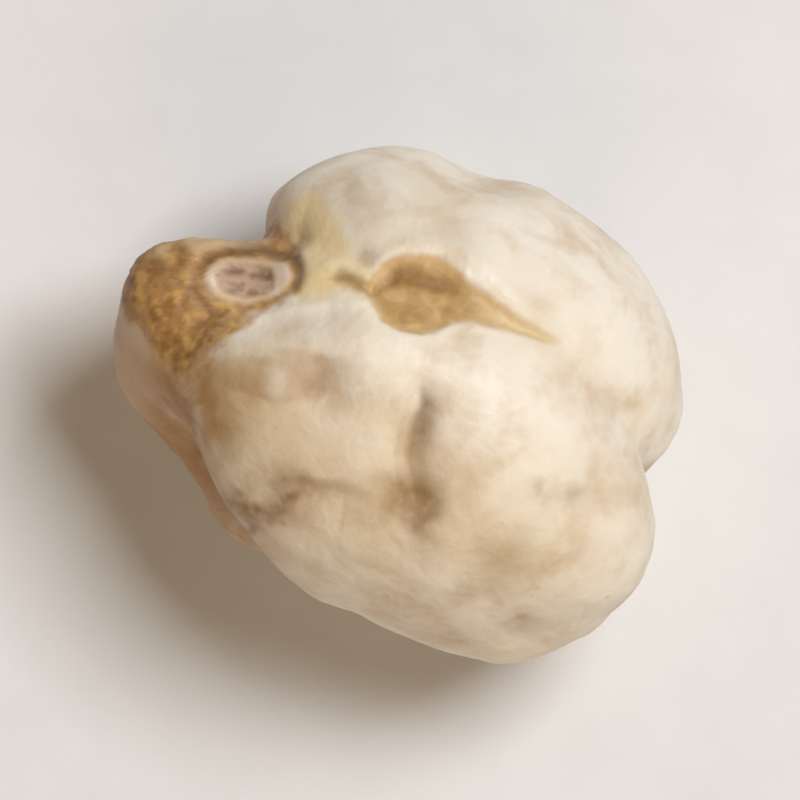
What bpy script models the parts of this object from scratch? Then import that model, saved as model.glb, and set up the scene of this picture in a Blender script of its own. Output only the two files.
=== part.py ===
"""One dried chickpea, lying at rest with the side that carries its hilum uppermost.

Metres, +Z up. The beak points along -X and the two lobes end at +X. The origin lies on the surface
that the seed rests on, under the middle of its outline.
"""

import math

import bmesh
import bpy
import numpy as np

MM = 0.001

# Driving dimensions, in millimetres: the body is the seed without its beak.
BODY_LENGTH = 9.9
BODY_WIDTH = 9.1
BODY_DEPTH = 8.8
BODY_FULLNESS = 2.12
BODY_AT = (0.27, 0.0)
REST_HEIGHT = 4.20
HALF = np.array([BODY_LENGTH, BODY_WIDTH, BODY_DEPTH]) / 2

# The beak: where it grows from the body, how far it is drawn out and how wide it is.
BEAK_ROOT = (-4.5, 0.2, 1.0)
BEAK_PULL = (-0.95, 0.22, 1.00)
BEAK_REACH = 1.75

# Low folds over the whole coat: their spacing, depth and how slowly they bend.
FOLD_SPACING = 1.5
FOLD_DEPTH = 0.22
FOLD_WAVES = 4
FOLD_BENDS = 3
BEND_LENGTH = 6.0
BEND_WIDTH = 0.35
FOLD_SEED = 5
MEAN_OF_FOLDS = 2 / math.pi
PLEAT_BOTTOM = 0.05

# The mesh: cells along a side of the cube that is blown up into the seed, and how far the cells are
# drawn together round the hilum and the chalaza, where the seed has its small marks.
CELLS = 28
GATHER = 0.34
GATHER_REACH = 0.62
GATHER_AT = (-1.6, 1.2)

SEED_COLOUR = (0.745, 0.632, 0.462, 1.0)
SEED_ROUGHNESS = 0.55


def lift(x, y, side):
    """The point of the body over (side 1) or under (side -1) a place in the seed's outline."""
    x, y = x - BODY_AT[0], y - BODY_AT[1]
    plan = abs(x / HALF[0]) ** BODY_FULLNESS + abs(y / HALF[1]) ** BODY_FULLNESS
    return (x, y, side * HALF[2] * max(0.0, 1 - plan) ** (1 / BODY_FULLNESS))


def top(x, y):
    return lift(x, y, 1)


def under(x, y):
    return lift(x, y, -1)


def rim(degrees, z=0.0):
    """A point on the body's girth, counted anticlockwise from +X as seen from above."""
    return (math.cos(math.radians(degrees)) * HALF[0], math.sin(math.radians(degrees)) * HALF[1], z)


def body(directions):
    """The plain body's points along these unit directions, with its outward normals."""
    share = np.abs(directions / HALF) ** BODY_FULLNESS
    points = directions / share.sum(axis=1, keepdims=True) ** (1 / BODY_FULLNESS)
    normals = np.sign(points) * np.abs(points / HALF) ** (BODY_FULLNESS - 1) / HALF
    return points, normals / np.linalg.norm(normals, axis=1, keepdims=True)


def on_body(path):
    """Points given roughly, brought onto the plain body along lines from its middle."""
    rough = np.array(path, float)
    return body(rough / np.linalg.norm(rough, axis=1, keepdims=True))[0]


def rounded(path, steps=8):
    """The path filled in with points on the body, with the share of the way that each stands for."""
    rough = np.array(path, float)
    stops = np.arange(len(rough))
    at = np.linspace(0, len(rough) - 1, (len(rough) - 1) * steps + 1)
    filled = np.stack([np.interp(at, stops, rough[:, axis]) for axis in range(3)], axis=1)
    return on_body(filled), at


def nearest_on(points, path):
    """Distance from the path, how far along it the nearest point is, and 1 on its left, -1 on its right."""
    line, at = rounded(path)
    best = np.linalg.norm(points - line[0], axis=1)
    where = np.zeros(len(points))
    side = np.ones(len(points))
    for a, b, start, end in zip(line, line[1:], at, at[1:]):
        along = np.clip((points - a) @ (b - a) / ((b - a) @ (b - a)), 0, 1)
        distance = np.linalg.norm(points - a - along[:, None] * (b - a), axis=1)
        nearer = distance < best
        where = np.where(nearer, start + along * (end - start), where)
        side = np.where(nearer, np.sign(points @ np.cross(a, b)), side)
        best = np.minimum(distance, best)
    return best, where, side


def weighted(where, amounts):
    """The amount at each place along a path, from one amount for each of its points."""
    return np.interp(where, np.arange(len(amounts)), amounts)


def soft(points, path, reach, heights):
    """A rounded ridge along the path, or a rounded furrow where its heights are negative."""
    distance, where, _ = nearest_on(points, path)
    return weighted(where, heights) * np.exp(-((distance / reach) ** 2))


def crease(points, path, reach, heights):
    """A fold with a sharp bottom, or a crest with a sharp top."""
    distance, where, _ = nearest_on(points, path)
    return weighted(where, heights) * np.exp(-np.hypot(distance, 0.15 * reach) / reach)


def pleat(points, path, gentle, steep, heights):
    """A fold that rises gently on the left of its path, as seen from outside, and steeply on the right."""
    distance, where, side = nearest_on(points, path)
    reach = np.where(side > 0, gentle, steep)
    return weighted(where, heights) * np.exp((PLEAT_BOTTOM - np.hypot(distance, PLEAT_BOTTOM)) / reach)


def terrace(points, path, fall, recovery, heights):
    """A step down on the right of the path, with an edge at the path, that is slowly made up again."""
    distance, where, side = nearest_on(points, path)
    below = np.where(side < 0, distance, 0.0)
    drop = 1 - np.exp(-((below / fall) ** 2))
    return weighted(where, heights) * drop * np.exp(-((below / recovery) ** 2))


def basin(points, path, radii, edge, depth):
    """A sunk patch with a flat floor: as wide as the radii along the path, with sides of width edge."""
    distance, where, _ = nearest_on(points, path)
    return -depth / (1 + np.exp((distance - weighted(where, radii)) / edge))


# The line that runs from the beak over the hilum, the chalaza and the cleft between the lobes.
HILUM = top(-3.38, 0.95)
CHALAZA = top(-0.15, 1.80)
TAIL = top(2.55, 1.80)
CLEFT = rim(-2.2, 0.2)

# Folds that the drying coat has thrown on the lower lobe, and the edge of that lobe along the raphe.
MIDDLE_FOLD = [top(0.24, 0.45), top(0.34, 0.05), top(0.36, -0.70), top(0.48, -1.30), top(0.80, -1.75),
               top(1.10, -2.05)]
SIDE_LEDGE = [top(-2.40, -3.50), top(-2.20, -2.85), top(-2.00, -2.56), top(-1.30, -2.20), top(-0.40, -1.98),
              top(0.60, -1.95)]
LOBE_EDGE = [top(-0.90, 0.98), top(-1.25, 1.26), top(-1.70, 1.18), top(-2.40, 0.80), top(-3.02, 0.40),
             top(-3.55, -0.25), top(-3.95, -1.10)]


def lobes(points):
    """The two lobes of the cotyledons, the lower one in plan larger than the upper."""
    rise = soft(points, [rim(-40, -0.6), rim(-24, 0.4)], 2.3, [0.84, 0.80])
    rise += soft(points, [top(3.2, -1.6)], 2.2, [0.22])
    rise += soft(points, [rim(48, 0.3), rim(20, -0.4)], 1.5, [0.16, 0.20])
    rise += soft(points, [rim(80, -0.3)], 1.2, [0.12])
    rise += soft(points, [rim(112, 0.2)], 1.2, [0.08])
    rise += soft(points, [rim(138, 0.2)], 0.9, [-0.12])
    rise += soft(points, [rim(92, -1.0), rim(91, 1.4)], 0.9, [-0.22, -0.28])
    return rise


def flank(points):
    """The flattened flank between the beak and the lower lobe."""
    rise = soft(points, [rim(-84, 0.2), rim(-56, 0.2)], 1.0, [-0.12, 0.14])
    rise += soft(points, [rim(-141, 0.6), rim(-123, 0.4), rim(-100, -0.4)], 1.2, [-1.14, -0.98, -0.18])
    rise += soft(points, [rim(-160, -0.2)], 1.4, [0.64])
    return rise


def valley(points):
    """The valley along the raphe, the furrow at the foot of each lobe, and the cleft at the back."""
    rise = soft(points, [HILUM], 0.9, [-0.30])
    rise += soft(points, [HILUM, CHALAZA, TAIL, CLEFT], 1.0, [-0.10, -0.26, -0.24, -0.30])
    rise += soft(points, [top(-3.0, 2.3), top(-2.4, 2.2), top(-1.2, 2.1)], 0.42, [-0.20, -0.22, -0.06])
    rise += soft(points, [top(-4.0, -0.9), top(-3.0, 0.3), top(-1.9, 0.9)], 0.42, [-0.10, -0.16, -0.14])
    rise += crease(points, [TAIL, top(4.2, 0.9), CLEFT, under(4.0, -0.8), under(1.8, -1.5)], 0.42,
                   [-0.03, -0.14, -0.46, -0.42, -0.20])
    rise += soft(points, [CLEFT, under(4.2, -0.8), under(1.5, -1.5)], 1.2, [-0.15, -0.45, -0.10])
    return rise


def radicle_grooves(points):
    """The grooves on both sides of the radicle, which runs from the beak along the underside."""
    rise = soft(points, [top(-3.3, 2.15), rim(154, 0.6), rim(152, -1.2), under(-3.2, 1.6), under(-0.8, 0)],
                0.76, [-0.50, -1.18, -0.75, -0.40, -0.12])
    rise += soft(points, [rim(-140, -1.6), under(-2.9, -2.2), under(-0.6, -2.1)], 0.8,
                 [-0.10, -0.36, -0.12])
    return rise


def dents(points):
    """Where the coat has sunk in as the seed dried, and the swell left standing between the dents."""
    rise = pleat(points, MIDDLE_FOLD, 0.42, 0.16, [0.0, -0.15, -0.23, -0.22, -0.14, 0.0])
    rise += terrace(points, SIDE_LEDGE, 0.30, 1.10, [0.0, -0.16, -0.22, -0.20, -0.14, 0.0])
    rise += terrace(points, LOBE_EDGE, 0.22, 0.55, [0.0, -0.08, -0.12, -0.14, -0.14, -0.10, 0.0])
    rise += soft(points, [top(1.10, -1.95)], 0.50, [-0.26])
    rise += soft(points, [top(-1.48, -0.43)], 0.55, [-0.16])
    rise += soft(points, [top(-2.9, -0.7), top(-1.1, 0.3)], 0.9, [0.20, 0.16])
    rise += soft(points, [top(-1.9, -3.0), top(-0.9, -2.5), top(0.1, -2.1)], 0.5, [-0.10, -0.08, -0.04])
    rise += soft(points, [top(3.5, -3.4)], 0.7, [-0.14])
    return rise


def hollows(points):
    """Hollows and creases below the girth, where the seed has dried in, and blunt ridges between them."""
    rise = soft(points, [rim(-98, -1.5), rim(-72, -2.3)], 1.15, [-0.30, -0.26])
    rise += soft(points, [rim(-50, -1.4), rim(-58, -2.8)], 0.55, [0.16, 0.12])
    rise += soft(points, [rim(-24, -2.0)], 1.05, [-0.24])
    rise += soft(points, [rim(-122, -1.8), rim(-114, -3.0)], 0.5, [0.14, 0.10])
    rise += soft(points, [rim(64, -1.6), rim(82, -2.4)], 1.1, [-0.26, -0.24])
    rise += soft(points, [rim(40, -1.5), rim(52, -2.8)], 0.5, [0.12, 0.12])
    rise += soft(points, [rim(103, -1.3), rim(104, -2.6)], 0.5, [0.14, 0.12])
    rise += soft(points, [rim(126, -1.8)], 0.9, [-0.22])
    rise += pleat(points, [rim(-108, -0.6), rim(-96, -1.5), rim(-78, -2.0), rim(-66, -1.8)], 0.55, 0.18,
                  [0.0, -0.24, -0.28, 0.0])
    rise += pleat(points, [rim(-90, -1.7), rim(-88, -2.4), rim(-98, -3.2)], 0.18, 0.50, [-0.08, -0.24, 0.0])
    rise += pleat(points, [rim(56, -0.2), rim(66, -1.0), rim(80, -1.9), rim(76, -3.0)], 0.18, 0.60,
                  [0.0, -0.24, -0.28, 0.0])
    rise += pleat(points, [rim(74, -1.5), rim(92, -1.2), rim(106, -1.8)], 0.55, 0.18, [-0.06, -0.22, 0.0])
    return rise


def beak(points):
    """The pull that draws the front of the body out into the beak, as vectors in millimetres."""
    distance = np.linalg.norm(points - on_body([BEAK_ROOT])[0], axis=1)
    share = np.exp(-((distance / BEAK_REACH) ** 2))
    return share[:, None] * np.array(BEAK_PULL)


def folds(points):
    """Low folds of the dried coat: waves with rounded crests and narrow troughs, bent by slower waves.

    They are faint on the side with the hilum and deepest on the underside.
    """
    draw = np.random.default_rng(FOLD_SEED)
    bent = points.copy()
    for _ in range(FOLD_BENDS):
        way, push = draw.normal(size=3), draw.normal(size=3)
        across = points @ way / np.linalg.norm(way)
        wave = np.sin(across * 2 * math.pi / BEND_LENGTH + draw.uniform(0, 2 * math.pi))
        bent += BEND_WIDTH * wave[:, None] * push
    height = np.zeros(len(points))
    for _ in range(FOLD_WAVES):
        way = draw.normal(size=3)
        across = bent @ way / np.linalg.norm(way)
        height += np.abs(np.sin(across * math.pi / FOLD_SPACING + draw.uniform(0, 2 * math.pi)))
    share = np.clip(0.45 - 0.2 * points[:, 2], 0.12, 1.0)
    return share * FOLD_DEPTH * (height / FOLD_WAVES - MEAN_OF_FOLDS)


def seed_form(directions):
    """The seed's own shape, without its small marks, and the normals of its plain body."""
    points, normals = body(directions)
    rise = lobes(points) + flank(points) + valley(points)
    rise += radicle_grooves(points) + dents(points) + hollows(points) + folds(points)
    return points + normals * rise[:, None] + beak(points) + (*BODY_AT, 0.0), points, normals


def marks(points):
    """The hilum's ringed scar, and the chalaza's basin under the lip of the upper lobe."""
    scar = [top(-3.75, 0.74), top(-3.02, 1.14)]
    ring = soft(points, scar, 0.70, [0.10, 0.10]) + basin(points, scar, [0.44, 0.44], 0.05, 0.16)
    lip = soft(points, [top(-1.0, 2.5), top(-0.1, 2.8), top(1.3, 2.4), TAIL], 0.40, [0.04, 0.14, 0.08, 0.0])
    chalaza = basin(points, [top(-0.85, 1.65), CHALAZA, top(0.85, 1.88), TAIL], [0.30, 0.74, 0.42, 0.03],
                    0.08, 0.22)
    return ring + lip + chalaza


def gathered(directions):
    """Unit directions drawn together round the marks, so that small shapes get small cells."""
    middle = on_body([top(*GATHER_AT)])[0]
    middle = middle / np.linalg.norm(middle)
    away = np.linalg.norm(directions - middle, axis=1)
    share = GATHER * np.exp(-((away / GATHER_REACH) ** 2))
    drawn = directions + share[:, None] * (middle - directions)
    return drawn / np.linalg.norm(drawn, axis=1, keepdims=True)


def seed_mesh(cells):
    """A cube of even cells, blown up into the seed."""
    grid = bmesh.new()
    bmesh.ops.create_cube(grid, size=2.0)
    bmesh.ops.subdivide_edges(grid, edges=grid.edges, cuts=cells - 1, use_grid_fill=True)
    even = np.tan(np.array([vertex.co for vertex in grid.verts]) * math.pi / 4)
    shaped, points, normals = seed_form(gathered(even / np.linalg.norm(even, axis=1, keepdims=True)))
    shaped += normals * marks(points)[:, None]
    shaped[:, 2] = np.maximum(shaped[:, 2], -REST_HEIGHT)
    low, high = shaped.min(axis=0), shaped.max(axis=0)
    shaped -= ((low[0] + high[0]) / 2, (low[1] + high[1]) / 2, low[2])
    for vertex, point in zip(grid.verts, shaped * MM):
        vertex.co = point
    bmesh.ops.triangulate(grid, faces=grid.faces)
    mesh = bpy.data.meshes.new("chickpea")
    grid.to_mesh(mesh)
    grid.free()
    mesh.shade_smooth()
    return mesh


def seed_coat():
    material = bpy.data.materials.new("seed_coat")
    material.use_nodes = True
    shader = material.node_tree.nodes["Principled BSDF"]
    shader.inputs["Base Color"].default_value = SEED_COLOUR
    shader.inputs["Roughness"].default_value = SEED_ROUGHNESS
    shader.inputs["Metallic"].default_value = 0.0
    return material


def main():
    for item in list(bpy.data.objects):
        bpy.data.objects.remove(item)
    seed = bpy.data.objects.new("chickpea", seed_mesh(CELLS))
    seed.data.materials.append(seed_coat())
    bpy.context.scene.collection.objects.link(seed)


main()
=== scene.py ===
"""A dried chickpea at close range: the seed's own coat, scars and colours, on a plain pale floor.

The seed is shaped in millimetres by the same strokes as its solid, on a finer net of cells. Its small
marks are finer than the solid's: the ringed scar of the hilum, the raphe, the chalaza under its lip, the
wrinkled skin of the beak and the fine creases of the coat.
"""

import math

import bmesh
import bpy
import numpy as np
from mathutils import Matrix, Vector


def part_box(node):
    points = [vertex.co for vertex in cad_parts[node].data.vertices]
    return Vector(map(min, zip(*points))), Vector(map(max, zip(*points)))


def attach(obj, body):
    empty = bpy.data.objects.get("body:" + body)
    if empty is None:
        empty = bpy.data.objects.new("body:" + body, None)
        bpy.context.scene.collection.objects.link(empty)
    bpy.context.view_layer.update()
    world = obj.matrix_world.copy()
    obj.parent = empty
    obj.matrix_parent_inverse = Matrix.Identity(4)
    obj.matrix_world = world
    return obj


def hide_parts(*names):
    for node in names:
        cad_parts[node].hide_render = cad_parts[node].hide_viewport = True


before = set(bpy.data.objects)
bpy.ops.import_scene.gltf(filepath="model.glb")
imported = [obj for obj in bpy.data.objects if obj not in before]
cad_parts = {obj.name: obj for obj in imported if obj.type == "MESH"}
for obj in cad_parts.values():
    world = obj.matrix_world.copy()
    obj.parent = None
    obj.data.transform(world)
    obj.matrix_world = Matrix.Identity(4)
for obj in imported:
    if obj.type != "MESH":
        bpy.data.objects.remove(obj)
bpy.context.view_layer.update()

MM = 0.001

# Driving dimensions, in millimetres: the body is the seed without its beak.
BODY_LENGTH = 9.9
BODY_WIDTH = 9.1
BODY_DEPTH = 8.8
BODY_FULLNESS = 2.12
BODY_AT = (0.27, 0.0)
REST_HEIGHT = 4.20
HALF = np.array([BODY_LENGTH, BODY_WIDTH, BODY_DEPTH]) / 2

# The beak: where it grows from the body, how far it is drawn out and how wide it is.
BEAK_ROOT = (-4.5, 0.2, 1.0)
BEAK_PULL = (-0.95, 0.22, 1.00)
BEAK_REACH = 1.75

# Low folds over the whole coat: their spacing, depth and how slowly they bend.
FOLD_SPACING = 1.5
FOLD_DEPTH = 0.22
FOLD_WAVES = 4
FOLD_BENDS = 3
BEND_LENGTH = 6.0
BEND_WIDTH = 0.35
FOLD_SEED = 5
MEAN_OF_FOLDS = 2 / math.pi
PLEAT_BOTTOM = 0.05

# The net of cells: how many along a side of the cube that is blown up into the seed, and where, by what
# share and over what reach of the unit directions they are drawn together round the small marks.
CELLS = 126
GATHERS = [((-0.6, 1.6), 0.42, 0.55), ((-3.4, 0.95), 0.38, 0.30)]

# The view looks straight down, with its right and up along these directions of the seed. Its width,
# distance and how far it is centred below the seed's middle are in millimetres, as the floor's width is.
VIEW_TURN = math.radians(19)
VIEW_RIGHT = Vector((math.cos(VIEW_TURN), math.sin(VIEW_TURN), 0))
VIEW_UP = Vector((-math.sin(VIEW_TURN), math.cos(VIEW_TURN), 0))
VIEW_BACK = Vector((0, 0, 1))
VIEW_WIDTH = 15.4
VIEW_DISTANCE = 300
VIEW_DROP = 0.25
SENSOR = 36
FLOOR_WIDTH = 900

# Colours laid over the cream of the coat, in this order: the mask that says where, the colour, and how
# strong it is at most. Several are partly painted light: the warm tan and the flank's brown are partly the
# coat's own tan and partly painted shade on the flank and in the deep grooves; sunk darkens the small
# hollows with painted shade and raised lightens the crests with painted highlight, standing also for tanner
# troughs and scuffed crests; the stains of the middle fold, the pit, the ledges and the dents are partly
# tan stain and partly painted shade; the pale cream along the lower lobe's edge and at a few places on the
# lobe is painted highlight; and one of the tan spots is a painted shadow.
CREAM = "F1EADB"
COAT_LAYERS = [("tinge", "E8CF9E", 0.50), ("warm", "BE8B54", 0.66), ("flank", "AC7D44", 0.95),
               ("sunk", "C09E6C", 0.45), ("raised", "F5EDDD", 0.45), ("painted_highlight", "FAF4E4", 0.75),
               ("tan_and_shadow_spots", "AC8A58", 0.50), ("sunk_stain_and_shade", "A8845A", 0.72),
               ("ledge_stain_and_shade", "8E6534", 0.88), ("deep_stain_and_shade", "8C6738", 0.84)]
BEAK_LAYERS = [("yellow", "E8D09A", 0.85), ("tan", "A87C43", 0.90), ("tan_light", "CDA45E", 0.70),
               ("tan_dark", "7F5729", 0.62), ("pale", "DCC096", 0.70), ("brown", "7C5427", 0.70)]
# The chalaza's fold is coloured as painted shadow under the lip of the upper lobe.
MARK_LAYERS = [("raphe_ridge", "F0E0BC", 0.80), ("raphe", "A48048", 0.85), ("chalaza", "BE9A61", 1.00),
               ("chalaza_light", "D3AE78", 0.85), ("chalaza_dark", "A77F44", 0.70),
               ("tail", "E8D5AC", 0.95), ("chalaza_rim", "D9BC86", 0.45),
               ("chalaza_fold", "8F6734", 0.80), ("halo", "6C491E", 0.78),
               ("scar", "D3B994", 1.00), ("scar_white", "ECDFCE", 0.70), ("scar_floor", "BDA287", 1.00),
               ("streaks", "957159", 0.60), ("slits", "7A5240", 0.60)]
LAYERS = COAT_LAYERS + BEAK_LAYERS + MARK_LAYERS

# Clouds in a colour: the spacing of their noise in millimetres, its detail, its levels at which a cloud
# begins and is full, their colour, and how strong it is at most. The specks have a spacing and a radius.
CLOUDS = [(2.4, 3, 0.45, 0.72, "E2D2B6", 0.60), (0.70, 4, 0.50, 0.78, "D1B68F", 0.50),
          (0.95, 3, 0.55, 0.80, "F8F1E3", 0.50)]
SPECKS = (1.3, 0.10, "A8824E", 0.45)
CARD = "E6E7E8"
CARD_CLOUDS = [(1.5, 4, 0.4, 0.7, "E1E2E3", 0.6)]

# The surface of the coat, in millimetres: patches of duller and less dull wax, and a fine tooth. The cells
# that give the real coat its tooth are too fine to show, so it is drawn coarser than they are.
WAX_SPACING = 0.3
TOOTH_SPACING = 0.11
TOOTH_DEPTH = 0.016

# Sockets of a colour mix, by number, because several of them share a name.
SHARE, UNDER, OVER, MIXED = 0, 6, 7, 2

# Lights: the way to each as right, up and back in the view, its distance and width in millimetres, its
# watts and its colour. Then the light from all round: its colour and strength.
LIGHTS = [("key", (0.42, 0.32, 1.0), 300, 120, 0.76, "FDFDFF"),
          ("fill", (0.05, -0.95, 0.8), 350, 260, 0.34, "FFE6C8")]
SURROUND = ("FFDDB0", 0.12)

# How far each mark raises the coat, in millimetres, or sinks it where negative.
RELIEF = {"scar": 0.035, "scar_floor": -0.035, "scar_white": 0.02, "halo": -0.035, "slits": -0.030,
          "streaks": -0.012, "pale": 0.045, "brown": -0.04, "saddle": 0.10, "chalaza": -0.09,
          "chalaza_fold": -0.09, "lip": 0.07, "raphe_ridge": 0.05, "raphe": -0.06, "middle_fold": -0.05,
          "dent_lines": -0.03, "faint_ridges": 0.012, "faint_crease": -0.014, "tan_and_shadow_spots": -0.03}

# How far the grain of the coat stands out: broad swells, wrinkles, how much more of them the hidden side
# has, the fine net, the crust of the beak's skin, its rings round the hilum, and the chalaza's crust.
SWELL = 0.035
WRINKLE = 0.010
HIDDEN_WRINKLE = 0.050
FINE_NET = 0.010
BEAK_CRUST = 0.028
BEAK_RING = 0.009
RING_SPACING = 0.31
CHALAZA_CRUST = 0.008

# Heights above the resting surface, in millimetres, between which each of these comes in on the way up:
# the marks of the top, the beak's marks, the beak's skin, first sparse and ragged, then dense and whole,
# the stain and painted shade of the flank, the clear cream over the stain and painted shade under the beak,
# and the smoother seen side.
MARKS_FROM = (3.4, 4.6)
BEAK_MARKS_FROM = (4.8, 5.8)
SKIN_FROM = (1.2, 2.8)
SKIN_DENSE = (1.4, 3.6)
SKIN_WHOLE = (3.4, 4.8)
FLANK_FROM = (0.7, 3.2)
BRIGHT_FROM = (3.0, 4.8)
SMOOTH_FROM = (2.5, 6.5)

# The noise: how many random slopes it is made of, and how steep they are.
LATTICE = 256
SLOPE = 1.45

# Outlines and lines of the small marks, in millimetres from the middle of the seed, as seen from above.
# The hilum is a ringed scar: a pale rim, a greyish floor inside it and a brown line round it.
SCAR_OUTER = [(-4.24, 0.85), (-4.12, 0.60), (-3.85, 0.42), (-3.51, 0.44), (-3.18, 0.56), (-2.92, 0.74),
              (-2.70, 0.95), (-2.58, 1.22), (-2.66, 1.44), (-2.86, 1.53), (-3.18, 1.47), (-3.55, 1.41),
              (-3.90, 1.28), (-4.14, 1.10)]
SCAR_INNER = [(-3.96, 1.12), (-3.64, 1.30), (-3.29, 1.36), (-3.06, 1.32), (-2.94, 1.18), (-2.90, 1.02),
              (-2.98, 0.88), (-3.18, 0.72), (-3.53, 0.60), (-3.80, 0.62), (-3.98, 0.76), (-4.04, 0.95)]
SLITS = [[(-3.92, 0.98), (-3.69, 1.05), (-3.50, 1.08)], [(-3.42, 1.10), (-3.24, 1.14), (-3.12, 1.08)],
         [(-3.38, 0.80), (-3.26, 0.75), (-3.16, 0.78)], [(-3.12, 1.20), (-3.02, 1.10)]]
WHITE_BLOBS = [(-4.12, 0.76), (-2.77, 1.33), (-2.80, 0.90)]
HALO_OVER = [(-4.28, 1.10), (-4.08, 1.30), (-3.82, 1.42), (-3.56, 1.53), (-3.30, 1.62), (-3.00, 1.65),
             (-2.72, 1.65), (-2.53, 1.50), (-2.48, 1.28), (-2.52, 1.05), (-2.62, 0.96)]
HALO_UNDER = [(-4.40, 0.72), (-4.28, 0.43), (-4.06, 0.28), (-3.83, 0.20), (-3.60, 0.22)]

# How many times longer than wide the streaks on the hilum's floor are.
STREAK_LENGTH = 2.2

# The beak's brown skin, with a pale ridge along its upper edge, and its pale and brown spots.
TAN_ZONE = [(-5.90, 0.40), (-5.50, 1.10), (-4.81, 1.52), (-4.18, 1.72), (-3.45, 1.95), (-3.30, 2.24),
            (-2.98, 2.18), (-2.70, 1.90), (-2.50, 1.55), (-2.42, 1.20), (-2.56, 0.98), (-2.76, 0.78),
            (-2.90, 0.52), (-3.10, 0.24), (-3.30, -0.06), (-3.52, -0.46), (-3.76, -0.90), (-4.04, -1.20),
            (-4.50, -0.98), (-5.00, -0.63), (-5.50, -0.28)]
PALE_RIDGE = [(-4.90, 1.22), (-4.59, 1.33), (-4.25, 1.43), (-3.74, 1.61), (-3.21, 1.84)]
PALE_SPOTS = [(-4.56, 1.24), (-5.15, 0.92)]
BROWN_SPOTS = [(-4.28, 1.08), (-4.79, 1.05), (-5.10, 0.72)]

# Where the fold between the beak and the upper lobe is filled up a little.
SADDLE = [(-2.72, 2.30)]

# The raphe, from the hilum to the chalaza, in its yellowish strip.
YELLOW_ZONE = [(-2.55, 0.92), (-2.46, 1.45), (-2.70, 1.95), (-3.05, 2.30), (-3.10, 2.70), (-2.75, 3.00),
               (-2.35, 2.85), (-2.00, 2.35), (-1.60, 1.98), (-1.12, 1.84), (-1.10, 1.50), (-1.45, 1.32),
               (-1.90, 1.16)]
RAPHE = [(-1.98, 1.50), (-1.74, 1.61), (-1.56, 1.63), (-1.40, 1.60), (-1.18, 1.57), (-1.02, 1.57)]
RAPHE_RIDGE = [(-2.15, 1.70), (-1.84, 1.82), (-1.64, 1.78), (-1.40, 1.77), (-1.16, 1.78)]

# The chalaza, a sunk tan field under the edge of the upper lobe, and the fold along its upper side, whose
# dark brown is painted shadow under the lip.
CHALAZA_EDGE = [(-1.22, 1.52), (-1.20, 1.82), (-1.08, 2.12), (-0.84, 2.34), (-0.54, 2.46), (-0.20, 2.54),
                (0.12, 2.54), (0.40, 2.42), (0.76, 2.28), (1.30, 2.10), (1.95, 1.92), (2.60, 1.80),
                (1.96, 1.70), (1.36, 1.66), (0.78, 1.60), (0.50, 1.44), (0.27, 1.22), (0.05, 1.09),
                (-0.26, 1.01), (-0.52, 1.02), (-0.78, 1.12), (-0.98, 1.30)]
CHALAZA_FOLD = [(-1.00, 1.62), (-0.90, 1.80), (-0.79, 1.95), (-0.62, 2.06), (-0.25, 2.07), (0.05, 2.10),
                (0.30, 2.12), (0.66, 2.20), (0.87, 2.18), (1.30, 2.07), (1.75, 1.95)]
CHALAZA_LIP = [(-1.12, 2.22), (-0.72, 2.62), (-0.10, 2.84), (0.50, 2.72), (1.30, 2.40), (2.00, 2.12),
               (2.60, 1.96)]

# Folds and dents of the drying coat, mostly on the lower lobe, with its stained places, which are partly
# painted shade, and its places of painted highlight along the lobe's edge and at a few places on the lobe.
FOLD_LINE = [(0.24, 0.40), (0.34, 0.08), (0.38, -0.30), (0.36, -0.70), (0.42, -1.05), (0.52, -1.36),
             (0.70, -1.68), (0.95, -1.98)]
DENT_LINES = [[(-2.10, -0.05), (-1.92, -0.38), (-1.70, -0.66), (-1.38, -0.86), (-0.90, -1.03)],
              [(-1.90, -0.05), (-1.50, 0.00), (-1.10, -0.12), (-0.80, -0.26)]]
FAINT_CREASE = [(0.30, -2.44), (0.90, -2.82), (1.30, -3.04), (1.72, -3.28)]
FAINT_RIDGES = [[(3.33, 1.62), (3.72, 1.46), (4.15, 1.30)], [(1.85, 0.24), (2.20, 0.08), (2.62, -0.10)],
                [(0.73, -2.66), (1.10, -2.88), (1.58, -3.08)]]
# Along this line and at the highlight places below, the coat is lightened with painted highlight.
LOBE_LINE = [(-0.95, 1.02), (-1.20, 1.26), (-1.60, 1.22), (-2.10, 0.98), (-2.60, 0.74), (-3.02, 0.42),
             (-3.32, 0.10), (-3.62, -0.28), (-3.82, -0.75), (-4.05, -1.10)]
PIT = [(0.58, -1.98), (0.95, -2.06), (1.14, -1.96), (1.42, -2.42)]
# The stains under the ledges and in the dents are partly tan stain and partly painted shade.
LEDGE_STAINS_AND_SHADE = [[(-1.90, -3.75), (-2.12, -3.25), (-2.05, -2.80)],
                [(-0.90, -2.26), (-1.26, -2.42), (-1.34, -2.75), (-1.50, -3.10), (-1.42, -3.50)]]
HIGHLIGHT_PLACES = [(-2.32, -0.42), (-2.26, -0.62), (-2.20, -0.84), (-1.85, -2.60), (-2.30, -2.35)]
FLANK_ZONE = [(-4.60, -1.30), (-4.50, -0.60), (-4.10, -0.20), (-3.60, -0.40), (-3.00, -1.05),
              (-2.72, -1.75), (-2.75, -2.50), (-2.45, -3.30), (-1.60, -4.00), (-1.30, -5.40),
              (-4.00, -5.40), (-4.40, -3.40)]
SUNK_STAINS_AND_SHADE = [[(-1.95, 0.15), (-1.86, -0.20), (-1.68, -0.50), (-1.48, -0.85)],
               [(-2.85, -0.30), (-2.66, -0.85), (-2.62, -1.20)]]
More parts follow.
